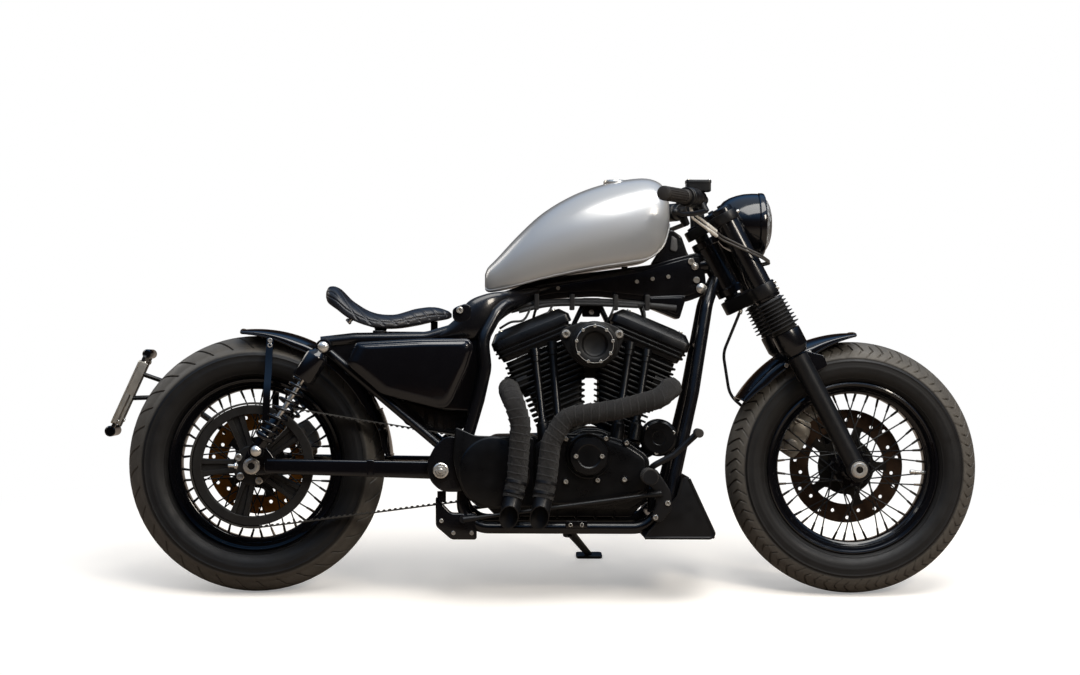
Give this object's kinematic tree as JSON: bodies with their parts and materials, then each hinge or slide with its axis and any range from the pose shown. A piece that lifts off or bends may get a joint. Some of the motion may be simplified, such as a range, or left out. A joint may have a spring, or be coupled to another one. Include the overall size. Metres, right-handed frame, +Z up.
{
  "type": "motorcycle",
  "caption": "Bobber motorcycle with an air-cooled V-twin, peanut tank, quilted solo saddle and laced wheels, leaning on its side stand.",
  "frame": {"origin": "centre of the footprint box at the level of the ground that the parked bike stands on", "axes": "+X forwards, +Y to the rider's left, the side that the bike leans to, +Z up from the level ground"},
  "size_m": [2.2296, 0.8346, 1.0589],
  "materials": {
    "frame_black": "gloss",
    "engine_black": "satin wrinkle",
    "gloss_black": "high gloss",
    "pearl_silver": "pearl gloss",
    "bare_steel": "plated",
    "disc_steel": "turned, browned by heat",
    "tyre_rubber": "matt",
    "belt_rubber": "matt",
    "seat_leather": "satin grain",
    "pipe_wrap": "woven, matt",
    "lamp_glass": "clear",
    "cable_black": "satin"
  },
  "bodies": {
    "chassis": {"frame": "frame_black", "swingarm": "gloss_black", "shock_right": "engine_black", "shock_left": "engine_black", "crankcase": "engine_black", "cam_cover": "engine_black", "sprocket_cover": "engine_black", "primary_cover": "engine_black", "cylinder_rear": "engine_black", "cylinder_front": "engine_black", "rocker_box_rear": "engine_black", "rocker_box_front": "engine_black", "air_cleaner": "engine_black", "exhaust_rear": "pipe_wrap", "exhaust_front": "pipe_wrap", "fuel_tank": "pearl_silver", "seat": "seat_leather", "oil_tank": "gloss_black", "battery_case": "gloss_black", "rear_fender": "gloss_black", "chin_spoiler": "frame_black", "plate_holder": "bare_steel", "foot_controls_right": "engine_black", "foot_controls_left": "engine_black", "rear_caliper": "bare_steel", "rear_axle": "bare_steel", "drive_belt": "belt_rubber"},
    "steering": {"triple_clamp": "frame_black", "fork_leg_right": "frame_black", "fork_leg_left": "frame_black", "front_axle": "bare_steel", "front_fender": "gloss_black", "front_caliper": "bare_steel", "brake_hose": "cable_black", "handlebar": "frame_black", "hand_controls_right": "cable_black", "hand_controls_left": "cable_black", "headlamp": "gloss_black", "headlamp_glass": "lamp_glass", "throttle_cables": "cable_black"},
    "front_wheel": {"front_tyre": "tyre_rubber", "front_rim": "gloss_black", "front_disc": "disc_steel"},
    "rear_wheel": {"rear_tyre": "tyre_rubber", "rear_rim": "gloss_black", "rear_disc": "disc_steel", "rear_pulley": "gloss_black"},
    "side_stand": {"side_stand": "frame_black"}
  },
  "joints": [
    {"name": "steering_turn", "type": "hinge", "parent": "chassis", "child": "steering", "pos_m": [0.45376, -0.01943, 0.81525], "axis": [-0.4695, 0.1533, 0.8695], "range_deg": [-30, 30]},
    {"name": "front_wheel_turn", "type": "hinge", "parent": "steering", "child": "front_wheel", "pos_m": [0.79664, -0.10774, 0.31443], "axis": [0, 0.9848, -0.1736], "continuous": true},
    {"name": "rear_wheel_turn", "type": "hinge", "parent": "chassis", "child": "rear_wheel", "pos_m": [-0.71336, -0.10722, 0.31738], "axis": [0, 0.9848, -0.1736], "continuous": true},
    {"name": "side_stand_fold", "type": "hinge", "parent": "chassis", "child": "side_stand", "pos_m": [0.08664, 0.0166, 0.10973], "axis": [-0.0575, 0.5431, 0.8377], "range_deg": [0, 98]}
  ]
}
